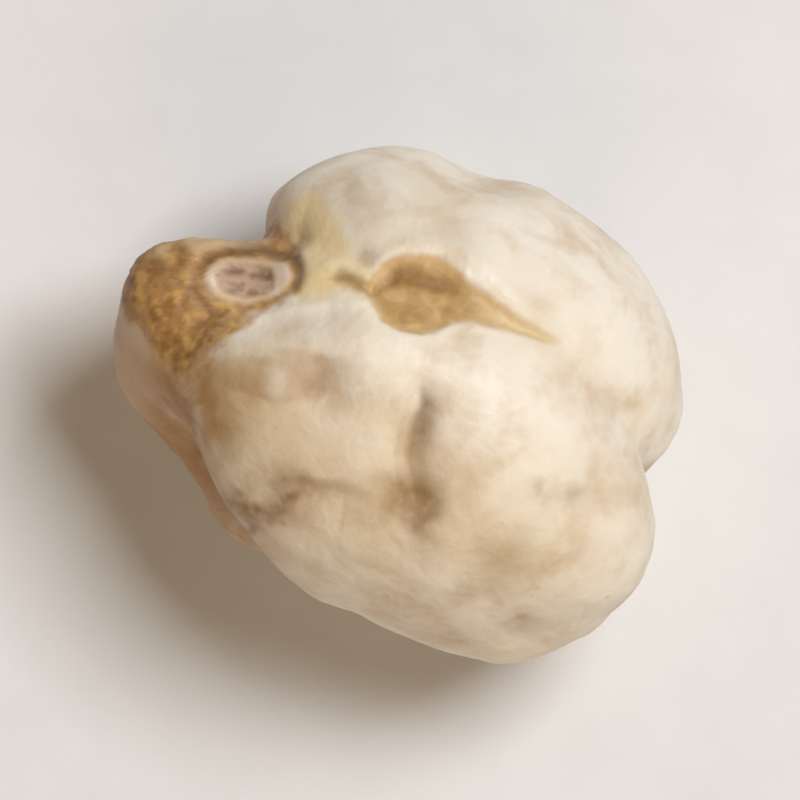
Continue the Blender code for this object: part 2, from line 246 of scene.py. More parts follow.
# Small tan spots; the one at (-1.33, 2.09) is a painted shadow over a shallow dent.
TAN_AND_SHADOW_SPOTS = [(3.19, -1.03), (3.76, -0.84), (3.65, -3.50), (2.35, -3.34), (-1.33, 2.09), (-2.06, 3.26)]
TAN_CLOUDS = [(2.85, -2.65), (2.95, -2.25), (0.85, -1.40), (-1.90, 2.90), (-0.10, 3.10)]

# How far towards +X the stain and painted shade of the middle fold lie from the fold's bottom.
FOLD_STAIN_AND_SHADE_SHIFT = 0.12


def lift(x, y, side):
    """The point of the body over (side 1) or under (side -1) a place in the seed's outline."""
    x, y = x - BODY_AT[0], y - BODY_AT[1]
    plan = abs(x / HALF[0]) ** BODY_FULLNESS + abs(y / HALF[1]) ** BODY_FULLNESS
    return (x, y, side * HALF[2] * max(0.0, 1 - plan) ** (1 / BODY_FULLNESS))


def top(x, y):
    return lift(x, y, 1)


def under(x, y):
    return lift(x, y, -1)


def rim(degrees, z=0.0):
    """A point on the body's girth, counted anticlockwise from +X as seen from above."""
    return (math.cos(math.radians(degrees)) * HALF[0], math.sin(math.radians(degrees)) * HALF[1], z)


def body(directions):
    """The plain body's points along these unit directions, with its outward normals."""
    share = np.abs(directions / HALF) ** BODY_FULLNESS
    points = directions / share.sum(axis=1, keepdims=True) ** (1 / BODY_FULLNESS)
    normals = np.sign(points) * np.abs(points / HALF) ** (BODY_FULLNESS - 1) / HALF
    return points, normals / np.linalg.norm(normals, axis=1, keepdims=True)


def on_body(path):
    """Points given roughly, brought onto the plain body along lines from its middle."""
    rough = np.array(path, float)
    return body(rough / np.linalg.norm(rough, axis=1, keepdims=True))[0]


def rounded(path, steps=8):
    """The path filled in with points on the body, with the share of the way that each stands for."""
    rough = np.array(path, float)
    stops = np.arange(len(rough))
    at = np.linspace(0, len(rough) - 1, (len(rough) - 1) * steps + 1)
    filled = np.stack([np.interp(at, stops, rough[:, axis]) for axis in range(3)], axis=1)
    return on_body(filled), at


def nearest_on(points, path):
    """Distance from the path, how far along it the nearest point is, and 1 on its left, -1 on its right."""
    line, at = rounded(path)
    best = np.linalg.norm(points - line[0], axis=1)
    where = np.zeros(len(points))
    side = np.ones(len(points))
    for a, b, start, end in zip(line, line[1:], at, at[1:]):
        along = np.clip((points - a) @ (b - a) / ((b - a) @ (b - a)), 0, 1)
        distance = np.linalg.norm(points - a - along[:, None] * (b - a), axis=1)
        nearer = distance < best
        where = np.where(nearer, start + along * (end - start), where)
        side = np.where(nearer, np.sign(points @ np.cross(a, b)), side)
        best = np.minimum(distance, best)
    return best, where, side


def weighted(where, amounts):
    """The amount at each place along a path, from one amount for each of its points."""
    return np.interp(where, np.arange(len(amounts)), amounts)


def soft(points, path, reach, heights):
    """A rounded ridge along the path, or a rounded furrow where its heights are negative."""
    distance, where, _ = nearest_on(points, path)
    return weighted(where, heights) * np.exp(-((distance / reach) ** 2))


def crease(points, path, reach, heights):
    """A fold with a sharp bottom, or a crest with a sharp top."""
    distance, where, _ = nearest_on(points, path)
    return weighted(where, heights) * np.exp(-np.hypot(distance, 0.15 * reach) / reach)


def pleat(points, path, gentle, steep, heights):
    """A fold that rises gently on the left of its path, as seen from outside, and steeply on the right."""
    distance, where, side = nearest_on(points, path)
    reach = np.where(side > 0, gentle, steep)
    return weighted(where, heights) * np.exp((PLEAT_BOTTOM - np.hypot(distance, PLEAT_BOTTOM)) / reach)


def terrace(points, path, fall, recovery, heights):
    """A step down on the right of the path, with an edge at the path, that is slowly made up again."""
    distance, where, side = nearest_on(points, path)
    below = np.where(side < 0, distance, 0.0)
    drop = 1 - np.exp(-((below / fall) ** 2))
    return weighted(where, heights) * drop * np.exp(-((below / recovery) ** 2))


# The line that runs from the beak over the hilum, the chalaza and the cleft between the lobes.
HILUM = top(-3.38, 0.95)
CHALAZA = top(-0.15, 1.80)
TAIL = top(2.55, 1.80)
CLEFT = rim(-2.2, 0.2)

# Folds that the drying coat has thrown on the lower lobe, and the edge of that lobe along the raphe.
MIDDLE_FOLD = [top(0.24, 0.45), top(0.34, 0.05), top(0.36, -0.70), top(0.48, -1.30), top(0.80, -1.75),
               top(1.10, -2.05)]
SIDE_LEDGE = [top(-2.40, -3.50), top(-2.20, -2.85), top(-2.00, -2.56), top(-1.30, -2.20), top(-0.40, -1.98),
              top(0.60, -1.95)]
LOBE_EDGE = [top(-0.90, 0.98), top(-1.25, 1.26), top(-1.70, 1.18), top(-2.40, 0.80), top(-3.02, 0.40),
             top(-3.55, -0.25), top(-3.95, -1.10)]


def lobes(points):
    """The two lobes of the cotyledons, the lower one in plan larger than the upper."""
    rise = soft(points, [rim(-40, -0.6), rim(-24, 0.4)], 2.3, [0.84, 0.80])
    rise += soft(points, [top(3.2, -1.6)], 2.2, [0.22])
    rise += soft(points, [rim(48, 0.3), rim(20, -0.4)], 1.5, [0.16, 0.20])
    rise += soft(points, [rim(80, -0.3)], 1.2, [0.12])
    rise += soft(points, [rim(112, 0.2)], 1.2, [0.08])
    rise += soft(points, [rim(138, 0.2)], 0.9, [-0.12])
    rise += soft(points, [rim(92, -1.0), rim(91, 1.4)], 0.9, [-0.22, -0.28])
    return rise


def flank(points):
    """The flattened flank between the beak and the lower lobe."""
    rise = soft(points, [rim(-84, 0.2), rim(-56, 0.2)], 1.0, [-0.12, 0.14])
    rise += soft(points, [rim(-141, 0.6), rim(-123, 0.4), rim(-100, -0.4)], 1.2, [-1.14, -0.98, -0.18])
    rise += soft(points, [rim(-160, -0.2)], 1.4, [0.64])
    return rise


def valley(points):
    """The valley along the raphe, the furrow at the foot of each lobe, and the cleft at the back."""
    rise = soft(points, [HILUM], 0.9, [-0.30])
    rise += soft(points, [HILUM, CHALAZA, TAIL, CLEFT], 1.0, [-0.10, -0.26, -0.24, -0.30])
    rise += soft(points, [top(-3.0, 2.3), top(-2.4, 2.2), top(-1.2, 2.1)], 0.42, [-0.20, -0.22, -0.06])
    rise += soft(points, [top(-4.0, -0.9), top(-3.0, 0.3), top(-1.9, 0.9)], 0.42, [-0.10, -0.16, -0.14])
    rise += crease(points, [TAIL, top(4.2, 0.9), CLEFT, under(4.0, -0.8), under(1.8, -1.5)], 0.42,
                   [-0.03, -0.14, -0.46, -0.42, -0.20])
    rise += soft(points, [CLEFT, under(4.2, -0.8), under(1.5, -1.5)], 1.2, [-0.15, -0.45, -0.10])
    return rise


def radicle_grooves(points):
    """The grooves on both sides of the radicle, which runs from the beak along the underside."""
    rise = soft(points, [top(-3.3, 2.15), rim(154, 0.6), rim(152, -1.2), under(-3.2, 1.6), under(-0.8, 0)],
                0.76, [-0.50, -1.18, -0.75, -0.40, -0.12])
    rise += soft(points, [rim(-140, -1.6), under(-2.9, -2.2), under(-0.6, -2.1)], 0.8,
                 [-0.10, -0.36, -0.12])
    return rise


def dents(points):
    """Where the coat has sunk in as the seed dried, and the swell left standing between the dents."""
    rise = pleat(points, MIDDLE_FOLD, 0.42, 0.16, [0.0, -0.15, -0.23, -0.22, -0.14, 0.0])
    rise += terrace(points, SIDE_LEDGE, 0.30, 1.10, [0.0, -0.16, -0.22, -0.20, -0.14, 0.0])
    rise += terrace(points, LOBE_EDGE, 0.22, 0.55, [0.0, -0.08, -0.12, -0.14, -0.14, -0.10, 0.0])
    rise += soft(points, [top(1.10, -1.95)], 0.50, [-0.26])
    rise += soft(points, [top(-1.48, -0.43)], 0.55, [-0.16])
    rise += soft(points, [top(-2.9, -0.7), top(-1.1, 0.3)], 0.9, [0.20, 0.16])
    rise += soft(points, [top(-1.9, -3.0), top(-0.9, -2.5), top(0.1, -2.1)], 0.5, [-0.10, -0.08, -0.04])
    rise += soft(points, [top(3.5, -3.4)], 0.7, [-0.14])
    return rise


def hollows(points):
    """Hollows and creases below the girth, where the seed has dried in, and blunt ridges between them."""
    rise = soft(points, [rim(-98, -1.5), rim(-72, -2.3)], 1.15, [-0.30, -0.26])
    rise += soft(points, [rim(-50, -1.4), rim(-58, -2.8)], 0.55, [0.16, 0.12])
    rise += soft(points, [rim(-24, -2.0)], 1.05, [-0.24])
    rise += soft(points, [rim(-122, -1.8), rim(-114, -3.0)], 0.5, [0.14, 0.10])
    rise += soft(points, [rim(64, -1.6), rim(82, -2.4)], 1.1, [-0.26, -0.24])
    rise += soft(points, [rim(40, -1.5), rim(52, -2.8)], 0.5, [0.12, 0.12])
    rise += soft(points, [rim(103, -1.3), rim(104, -2.6)], 0.5, [0.14, 0.12])
    rise += soft(points, [rim(126, -1.8)], 0.9, [-0.22])
    rise += pleat(points, [rim(-108, -0.6), rim(-96, -1.5), rim(-78, -2.0), rim(-66, -1.8)], 0.55, 0.18,
                  [0.0, -0.24, -0.28, 0.0])
    rise += pleat(points, [rim(-90, -1.7), rim(-88, -2.4), rim(-98, -3.2)], 0.18, 0.50, [-0.08, -0.24, 0.0])
    rise += pleat(points, [rim(56, -0.2), rim(66, -1.0), rim(80, -1.9), rim(76, -3.0)], 0.18, 0.60,
                  [0.0, -0.24, -0.28, 0.0])
    rise += pleat(points, [rim(74, -1.5), rim(92, -1.2), rim(106, -1.8)], 0.55, 0.18, [-0.06, -0.22, 0.0])
    return rise


def beak(points):
    """The pull that draws the front of the body out into the beak, as vectors in millimetres."""
    distance = np.linalg.norm(points - on_body([BEAK_ROOT])[0], axis=1)
    share = np.exp(-((distance / BEAK_REACH) ** 2))
    return share[:, None] * np.array(BEAK_PULL)


def folds(points):
    """Low folds of the dried coat: waves with rounded crests and narrow troughs, bent by slower waves.

    They are faint on the side with the hilum and deepest on the underside.
    """
    draw = np.random.default_rng(FOLD_SEED)
    bent = points.copy()
    for _ in range(FOLD_BENDS):
        way, push = draw.normal(size=3), draw.normal(size=3)
        across = points @ way / np.linalg.norm(way)
        wave = np.sin(across * 2 * math.pi / BEND_LENGTH + draw.uniform(0, 2 * math.pi))
        bent += BEND_WIDTH * wave[:, None] * push
    height = np.zeros(len(points))
    for _ in range(FOLD_WAVES):
        way = draw.normal(size=3)
        across = bent @ way / np.linalg.norm(way)
        height += np.abs(np.sin(across * math.pi / FOLD_SPACING + draw.uniform(0, 2 * math.pi)))
    share = np.clip(0.45 - 0.2 * points[:, 2], 0.12, 1.0)
    return share * FOLD_DEPTH * (height / FOLD_WAVES - MEAN_OF_FOLDS)


def seed_form(directions):
    """The seed's own shape, without its small marks, and the points of its plain body."""
    points, normals = body(directions)
    rise = lobes(points) + flank(points) + valley(points)
    rise += radicle_grooves(points) + dents(points) + hollows(points) + folds(points)
    return points + normals * rise[:, None] + beak(points) + (*BODY_AT, 0.0), points


def smooth_curve(points, closed, steps=6):
    """A curve through the points, filled in evenly between them."""
    places = np.array(points, float)
    count = len(places)
    filled = []
    for i in range(count if closed else count - 1):
        if closed:
            a, b, c, d = (places[(i + k) % count] for k in (-1, 0, 1, 2))
        else:
            a, b, c, d = (places[min(max(i + k, 0), count - 1)] for k in (-1, 0, 1, 2))
        for t in np.arange(steps) / steps:
            filled.append(0.5 * (2 * b + (c - a) * t + (2 * a - 5 * b + 4 * c - d) * t**2
                                 + (3 * b - a - 3 * c + d) * t**3))
    if not closed:
        filled.append(places[-1])
    return np.array(filled)


def from_line(plan, line):
    """Distance in plan from a line of points, the share of the way along it, and 1 on its left side."""
    best = np.full(len(plan), np.inf)
    where = np.zeros(len(plan))
    side = np.zeros(len(plan))
    for i, (a, b) in enumerate(zip(line, line[1:])):
        away, way = plan - a, b - a
        along = np.clip(away @ way / (way @ way), 0, 1)
        distance = np.linalg.norm(away - along[:, None] * way, axis=1)
        nearer = distance < best
        where = np.where(nearer, (i + along) / (len(line) - 1), where)
        side = np.where(nearer, np.sign(way[0] * away[:, 1] - way[1] * away[:, 0]), side)
        best = np.minimum(distance, best)
    return best, where, side


def inside(plan, outline):
    """How far each place lies inside a closed outline, negative outside it."""
    curve = smooth_curve(outline, closed=True)
    ring = np.vstack([curve, curve[:1]])
    distance = from_line(plan, ring)[0]
    crossings = np.zeros(len(plan), bool)
    for a, b in zip(ring, ring[1:]):
        if a[1] == b[1]:
            continue
        spans = (a[1] > plan[:, 1]) != (b[1] > plan[:, 1])
        reach = a[0] + (plan[:, 1] - a[1]) * (b[0] - a[0]) / (b[1] - a[1])
        crossings ^= spans & (plan[:, 0] < reach)
    return np.where(crossings, distance, -distance)


def ramp(values, low, high):
    """0 below low, 1 above high, and smooth between them."""
    share = np.clip((values - low) / (high - low), 0, 1)
    return share * share * (3 - 2 * share)


def stroke(plan, path, reach):
    """1 on a line drawn in plan, falling off over the reach, and thinner and fainter at its ends."""
    distance, where, _ = from_line(plan, smooth_curve(path, closed=False))
    taper = 0.3 + 0.7 * ramp(np.minimum(where, 1 - where), 0.0, 0.2)
    return taper * np.exp(-((distance / (reach * taper)) ** 2))


def spots(plan, places, radius):
    """1 in the middle of each round spot, falling off smoothly over its radius."""
    return sum(np.exp(-(np.linalg.norm(plan - place, axis=1) / radius) ** 2) for place in places)


def fold(plan, path, gentle, steep, start):
    """1 in a fold that is steeper on the right of its path and deepens over the first share of it."""
    distance, where, side = from_line(plan, smooth_curve(path, closed=False))
    ends = ramp(where, 0.0, start) * ramp(1 - where, 0.0, 0.20)
    reach = np.where(side > 0, gentle * (0.35 + 0.65 * ends), steep)
    return ends * np.exp(-((distance / reach) ** 2))


def lattice_noise(places, seed):
    """Smooth noise with one random slope at each corner of a lattice of unit cells."""
    draw = np.random.default_rng(seed)
    slopes = draw.normal(size=(LATTICE, 3))
    slopes *= SLOPE / np.linalg.norm(slopes, axis=1, keepdims=True)
    order = draw.permutation(LATTICE)
    places = places + draw.uniform(0, LATTICE, 3)
    cell = np.floor(places).astype(int)
    part = places - cell
    ease = part**3 * (part * (part * 6 - 15) + 10)
    height = np.zeros(len(places))
    for corner in np.ndindex(2, 2, 2):
        x, y, z = ((cell + corner) % LATTICE).T
        slope = slopes[order[(order[(order[x] + y) % LATTICE] + z) % LATTICE]]
        share = np.where(corner, ease, 1 - ease).prod(axis=1)
        height += share * ((part - corner) * slope).sum(axis=1)
    return height


def grain(places, spacing, octaves, seed):
    """Smooth noise between about -1 and 1 with bumps this far apart, and finer ones on them."""
    return sum(lattice_noise(places / spacing * 2**k, (seed, k)) / 2**k for k in range(octaves))


def warped(places, length, amount, seed):
    """The places pushed about by slow noise, so that patterns laid on them bend."""
    push = np.stack([grain(places, length, 1, seed + k) for k in range(3)], axis=1)
    return places + amount * push


def patches(places, spacing, seed, low, high):
    """Patches of noise with soft edges, 0 where the noise is below low and 1 where it is above high."""
    return ramp(grain(places, spacing, 2, seed), low, high)


def swayed(plan, places, amount, spacing, seed, octaves=2):
    """The plan pushed about by noise, so that the outlines laid on it don't run smoothly."""
    push = np.stack([grain(places, spacing, octaves, seed + k) for k in range(2)], axis=1)
    return plan + amount * push


def ridges(places, spacing, seed, sharpness):
    """Narrow crests this far apart that run on and fork, from 0 between them to 1 on top."""
    return (1 - np.abs(grain(places, spacing, 1, seed)) * 1.6).clip(0, 1) ** sharpness


def scar_marks(plan):
    """The hilum: its pale rim, its floor with slits, and the brown line round it."""
    outer = inside(plan, SCAR_OUTER)
    inner = ramp(inside(plan, SCAR_INNER), -0.07, 0.10)
    scar = ramp(outer, -0.04, 0.11)
    white = np.clip(spots(plan, WHITE_BLOBS, 0.22), 0, 1)
    slits = sum(stroke(plan, path, 0.07) for path in SLITS)
    halo = stroke(plan, HALO_OVER, 0.11) + 0.6 * stroke(plan, HALO_UNDER, 0.10)
    lengthwise = np.stack([plan[:, 0], plan[:, 1] * STREAK_LENGTH, plan[:, 0] * 0], axis=1)
    streaks = patches(lengthwise, spacing=0.42, seed=7, low=-0.05, high=0.35)
    return {"scar": scar, "scar_floor": inner * scar, "scar_white": white * scar * (1 - inner),
            "slits": slits * inner, "streaks": streaks * inner, "halo": halo * (1 - scar)}


def skin_marks(plan, places):
    """The beak's brown skin, light and dark in small flecks, which thins out down the beak's sides."""
    down = 1 - ramp(places[:, 2], *SKIN_WHOLE)
    loose = swayed(plan, places, amount=0.14, spacing=0.5, seed=3)
    looser = swayed(loose, places, amount=0.6 * down[:, None], spacing=1.3, seed=17)
    depth_in = inside(looser, TAN_ZONE)
    flecks = grain(places, spacing=0.45, octaves=3, seed=19) - 1 + ramp(places[:, 2], *SKIN_DENSE)
    ragged = 0.9 * down * flecks
    tan = ramp(depth_in + ragged, -0.15 - 0.2 * down, 0.16 + 0.2 * down)
    tan *= ramp(places[:, 2], *SKIN_FROM)
    away_from_scar = ramp(-plan[:, 0], 2.9, 3.5)
    light = patches(places, spacing=0.27, seed=8, low=-0.02, high=0.34)
    dark = patches(places, spacing=0.23, seed=9, low=0.02, high=0.36) * away_from_scar
    return {"tan": tan, "tan_light": tan * light, "tan_dark": tan * dark}


def beak_marks(plan, places):
    """The pale ridge and the spots on the beak, and the yellow strip beside it."""
    loose = swayed(plan, places, amount=0.14, spacing=0.5, seed=3)
    on_top = ramp(places[:, 2], *BEAK_MARKS_FROM)
    return {"yellow": on_top * ramp(inside(loose, YELLOW_ZONE), -0.20, 0.20),
            "pale": on_top * np.clip(stroke(plan, PALE_RIDGE, 0.13) + spots(plan, PALE_SPOTS, 0.17), 0, 1),
            "brown": on_top * np.clip(spots(plan, BROWN_SPOTS, 0.14), 0, 1),
            "saddle": on_top * spots(plan, SADDLE, 0.38)}


def chalaza_marks(plan, places):
    """The sunk field of the chalaza, the fold and the lip over it, and the raphe that runs into it. The
    fold's dark colour is painted shadow under the lip.
    """
    depth_in = inside(plan, CHALAZA_EDGE)
    field = ramp(depth_in, -0.09, 0.14)
    fold_depth = ramp(depth_in, -0.02, 0.22) * (1 - 0.85 * ramp(plan[:, 0], 0.0, 0.8))
    return {"chalaza": field, "tail": field * ramp(plan[:, 0], 0.6, 2.0),
            "chalaza_light": field * patches(places, spacing=0.40, seed=12, low=-0.05, high=0.30),
            "chalaza_dark": field * patches(places, spacing=0.34, seed=13, low=-0.05, high=0.60),
            "chalaza_fold": stroke(plan, CHALAZA_FOLD, 0.20) * fold_depth,
            "chalaza_rim": ramp(depth_in, -0.02, 0.06) * (1 - ramp(depth_in, 0.06, 0.26)),
            "lip": stroke(plan, CHALAZA_LIP, 0.24), "raphe": stroke(plan, RAPHE, 0.15),
            "raphe_ridge": stroke(plan, RAPHE_RIDGE, 0.14)}


def fold_marks(plan, places):
    """The folds and dents of the coat, the stains in them, which are partly painted shade, and the painted
    highlights along the lobe's edge and at a few places on the lobe.
    """
    plan = swayed(plan, places, amount=0.10, spacing=0.9, seed=5)
    broken = 0.75 + 0.7 * grain(places, spacing=0.45, octaves=3, seed=10)
    lower = ramp(-plan[:, 1], 0.7, 1.4)
    beside = plan - (FOLD_STAIN_AND_SHADE_SHIFT, 0.0)
    # Tan stain and painted shade in the middle fold and the pit, under the ledges and in the dents; painted
    # highlight along the lobe's edge and at its highlight places.
    deep = (0.90 - 0.80 * lower) * fold(beside, FOLD_LINE, gentle=0.45, steep=0.16, start=0.25)
    deep += 0.64 * spots(plan, PIT, 0.42)
    ledges = 0.85 * sum(stroke(plan, path, 0.42) for path in LEDGE_STAINS_AND_SHADE)
    pale = spots(plan, HIGHLIGHT_PLACES, 0.17)
    sunk = 0.85 * sum(stroke(plan, path, 0.55) for path in SUNK_STAINS_AND_SHADE) * (1 - 0.5 * pale.clip(0, 1))
    tan_and_shadow_spots = spots(plan, TAN_AND_SHADOW_SPOTS, 0.26) * broken + 0.6 * spots(plan, TAN_CLOUDS, 0.55)
    return {"middle_fold": fold(plan, FOLD_LINE, gentle=0.38, steep=0.12, start=0.3),
            "dent_lines": sum(stroke(plan, path, 0.24) for path in DENT_LINES),
            "faint_crease": stroke(plan, FAINT_CREASE, 0.12),
            "faint_ridges": sum(stroke(plan, path, 0.09) for path in FAINT_RIDGES),
            "deep_stain_and_shade": np.clip(deep * (0.35 + 0.65 * broken), 0, 1),
            "ledge_stain_and_shade": np.clip(ledges * broken, 0, 1),
            "sunk_stain_and_shade": np.clip(sunk * (0.5 + 0.5 * broken), 0, 1),
            "painted_highlight": np.clip(stroke(plan, LOBE_LINE, 0.40) + 0.5 * pale, 0, 1),
            "tan_and_shadow_spots": np.clip(tan_and_shadow_spots, 0, 1)}


def seed_marks(places):
    """All the marks, as shares from 0 to 1 for each place. The beak's brown skin goes further down."""
    plan = swayed(places[:, :2], places, amount=0.03, spacing=0.30, seed=1)
    upper = ramp(places[:, 2], *MARKS_FROM)
    marks = scar_marks(plan)
    for group in (beak_marks, chalaza_marks, fold_marks):
        marks.update(group(plan, places))
    marks = {name: share * upper for name, share in marks.items()}
    marks.update(skin_marks(plan, places))
    return marks


def marks_relief(marks):
    """How far the marks raise or sink the coat, in millimetres."""
    return sum(height * marks[name] for name, height in RELIEF.items())


def coat_relief(places, marks):
    """The small folds, creases and grain of the dried coat, in millimetres."""
    hidden = 1 - ramp(places[:, 2], *SMOOTH_FROM)
    plain = 1 - np.clip(marks["scar"] + marks["chalaza"], 0, 1)
    swell = grain(warped(places, length=2.2, amount=0.9, seed=11), spacing=1.5, octaves=2, seed=21)
    bent = warped(places, length=2.6, amount=0.5, seed=12) * (1.0, 1.3, 1.1)
    wrinkle = ridges(bent, spacing=2.3, seed=31, sharpness=5.0)
    wrinkled = ramp(grain(places, spacing=2.6, octaves=1, seed=33), -0.15, 0.25)
    bent = warped(places, length=0.7, amount=0.25, seed=41)
    fine = ridges(bent, spacing=0.34, seed=51, sharpness=1.6)
    bent = warped(places, length=0.4, amount=0.2, seed=61)
    crust = ridges(bent, spacing=0.26, seed=71, sharpness=1.4)
    from_scar = 0.10 * grain(places, spacing=0.6, octaves=2, seed=81) - inside(places[:, :2], SCAR_OUTER)
    ring = np.sin(from_scar * 2 * math.pi / RING_SPACING)
    rise = SWELL * swell * plain
    rise -= (WRINKLE + HIDDEN_WRINKLE * hidden) * wrinkle * wrinkled * plain
    rise += FINE_NET * (fine - 0.4) * plain
    rise += marks["tan"] * plain * (BEAK_CRUST * (crust - 0.4) + BEAK_RING * ring)
    rise += CHALAZA_CRUST * marks["chalaza"] * (crust - 0.4)
    return rise


def flank_tan_and_shade(places):
    """The brown of the flank and under the beak, partly the coat's tan and partly painted shade, strongest
    in the hollow and gone near the underside.
    """
    plan = swayed(places[:, :2], places, amount=0.25, spacing=1.1, seed=14, octaves=3)
    clouds = 0.95 + 0.3 * grain(places, spacing=0.55, octaves=3, seed=16)
    below_beak = 0.65 * ramp(-plan[:, 0], 3.8, 4.6) * (1 - ramp(places[:, 2], *BRIGHT_FROM))
    zone = np.maximum(ramp(inside(plan, FLANK_ZONE), -0.70, 0.70), below_beak)
    return zone * ramp(places[:, 2], *FLANK_FROM) * clouds


def tinge_share(points):
    """Where the cream is yellower: over most of the lower lobe, away from the beak's crest."""
    return soft(points, [top(-2.8, -1.3), top(-1.2, -2.4), top(1.0, -2.2), top(3.2, -2.2)], 1.6,
                [1.0, 1.0, 0.8, 0.6])


def tan_and_groove_shade_share(points):
    """Where the coat is tanner: round the beak, on the flank below it and along the deep grooves. On the
    flank and in the grooves the tan is partly painted shade.
    """
    share = soft(points, [BEAK_ROOT], 2.0, [1.0])
    share += soft(points, [rim(-150, -0.2), rim(-123, 0.0), rim(-100, -0.8)], 1.6, [1.0, 1.0, 0.6])
    share += soft(points, [top(-1.6, -0.8), top(-1.4, -2.4)], 1.4, [0.24, 0.24])
    share += soft(points, [rim(-115, 0.6), rim(-100, 1.2)], 1.2, [0.4, 0.2])
    share += soft(points, [top(-3.6, 2.25), rim(154, 0.6), rim(152, -1.2), under(-3.2, 1.6),
                           under(-0.8, 0)], 0.7, [0.35, 0.7, 0.7, 0.56, 0.21])
    share += soft(points, [rim(-140, -1.6), under(-2.9, -2.2), under(-0.6, -2.1)], 0.7, [0.6, 0.48, 0.24])
    share += soft(points, [CLEFT, under(4.0, -0.8), under(1.8, -1.5)], 0.5, [0.7, 0.7, 0.35])
    return share


def draw_together(directions):
    """Unit directions drawn together round the marks, so that the small marks get small cells."""
    for place, share, reach in GATHERS:
        middle = on_body([top(*place)])[0]
        middle = middle / np.linalg.norm(middle)
        away = np.linalg.norm(directions - middle, axis=1)
        drawn = share * np.exp(-((away / reach) ** 2))
        directions = directions + drawn[:, None] * (middle - directions)
        directions = directions / np.linalg.norm(directions, axis=1, keepdims=True)
    return directions


def read_all(mesh, name):
    """One vector for each point of the mesh, such as its place or its normal."""
    values = np.empty(len(mesh.vertices) * 3)
    mesh.vertices.foreach_get(name, values)
    return values.reshape(-1, 3)


def write_points(mesh, places):
    """Moves the points of the mesh to these places."""
    mesh.vertices.foreach_set("co", places.ravel())
    mesh.update()


def keep_mask(mesh, name, values):
    """Stores one number for each point of the mesh, for the material to read."""
    layer = mesh.attributes.new(name, "FLOAT", "POINT")
    layer.data.foreach_set("value", np.clip(values, 0, 1))


def net_of_cells():
    """The surface of a cube as an even net of four-sided cells, and its points as directions."""
    grid = bmesh.new()
    bmesh.ops.create_cube(grid, size=2.0)
    bmesh.ops.subdivide_edges(grid, edges=grid.edges, cuts=CELLS - 1, use_grid_fill=True)
    mesh = bpy.data.meshes.new("chickpea_coat")
    grid.to_mesh(mesh)
    grid.free()
    even = np.tan(read_all(mesh, "co") * math.pi / 4)
    return mesh, draw_together(even / np.linalg.norm(even, axis=1, keepdims=True))


def placed(places, low, high):
    """The places moved so that the seed stands where its solid does."""
    here_low, here_high = places.min(axis=0), places.max(axis=0)
    middle = (low + high - here_low - here_high) / 2
    return places + (middle[0], middle[1], low[2] - here_low[2])


def raised(mesh, places, rise):
    """The places moved outwards, along the normals of the mesh, by the rise of each."""
    return places + read_all(mesh, "normal") * rise[:, None]


def coat_stains(points, places, crests, painted_highlight):
    """The broad stains of the coat, partly painted shade on the flank and in the grooves, its small hollows
    darkened with painted shade and its crests lightened with painted highlight, as shares for each place.
    """
    warm = tan_and_groove_shade_share(points) + 0.25 * grain(places, spacing=1.6, octaves=2, seed=91)
    return {"warm": warm * (1 - 0.8 * painted_highlight), "tinge": tinge_share(points), "flank": flank_tan_and_shade(places),
            "sunk": ramp(-crests, -0.006, 0.036), "raised": ramp(crests, 0.008, 0.036)}


def seed_mesh():
    """The seed's skin in metres, with a mask for each layer of colour."""
    low, high = (np.array(corner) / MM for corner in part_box("chickpea"))
    mesh, directions = net_of_cells()
    places, points = seed_form(directions)
    places[:, 2] = np.maximum(places[:, 2], -REST_HEIGHT)
    places = placed(places, low, high)
    write_points(mesh, places)
    marks = seed_marks(places)
    places = raised(mesh, places, marks_relief(marks))
    write_points(mesh, places)
    crests = coat_relief(places, marks)
    places = raised(mesh, places, crests)
    places[:, 2] = np.maximum(places[:, 2], low[2])
    write_points(mesh, places * MM)
    marks.update(coat_stains(points, places, crests, marks["painted_highlight"]))
    for name, _, _ in LAYERS:
        keep_mask(mesh, name, marks[name])
    mesh.shade_smooth()
    return mesh


def seed_object():
    """The seed, in the place of its solid."""
    seed = bpy.data.objects.new("chickpea_coat", seed_mesh())
    bpy.context.scene.collection.objects.link(seed)
    seed.data.materials.append(dried_seed_coat())
    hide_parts("chickpea")
    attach(seed, "root")


def linear(hex_colour):
    """An sRGB hex colour as linear red, green, blue and alpha."""
    parts = [int(hex_colour[i:i + 2], 16) / 255 for i in (0, 2, 4)]
    straight = [part / 12.92 if part <= 0.04045 else ((part + 0.055) / 1.055) ** 2.4 for part in parts]
    return (*straight, 1.0)


def add(tree, kind, settings, links=()):
    """Adds a node, sets its properties and unlinked sockets, and links the others."""
    made = tree.nodes.new(kind)
    for name, value in settings.items():
        if isinstance(name, str) and hasattr(made, name):
            setattr(made, name, value)
        else:
            made.inputs[name].default_value = value
    for name, source in links:
        tree.links.new(source, made.inputs[name])
    return made


def laid_over(tree, base, share, hex_colour, most):
    """A colour over a base, a hex colour or a socket, as a share says and at most this strong."""
    strength = add(tree, "ShaderNodeMath", {"operation": "MULTIPLY", "use_clamp": True, 1: most},
                   [(0, share)])
    mix = add(tree, "ShaderNodeMix", {"data_type": "RGBA", OVER: linear(hex_colour)},
              [(SHARE, strength.outputs[0])])
    if isinstance(base, str):
        mix.inputs[UNDER].default_value = linear(base)
    else:
        tree.links.new(base, mix.inputs[UNDER])
    return mix.outputs[MIXED]


def painted(tree, colour, layers):
    """The colour with layers over it, each laid where the mask of its name says so."""
    for name, hex_colour, most in layers:
        mask = add(tree, "ShaderNodeAttribute", {"attribute_type": "GEOMETRY", "attribute_name": name})
        colour = laid_over(tree, colour, mask.outputs["Fac"], hex_colour, most)
    return colour


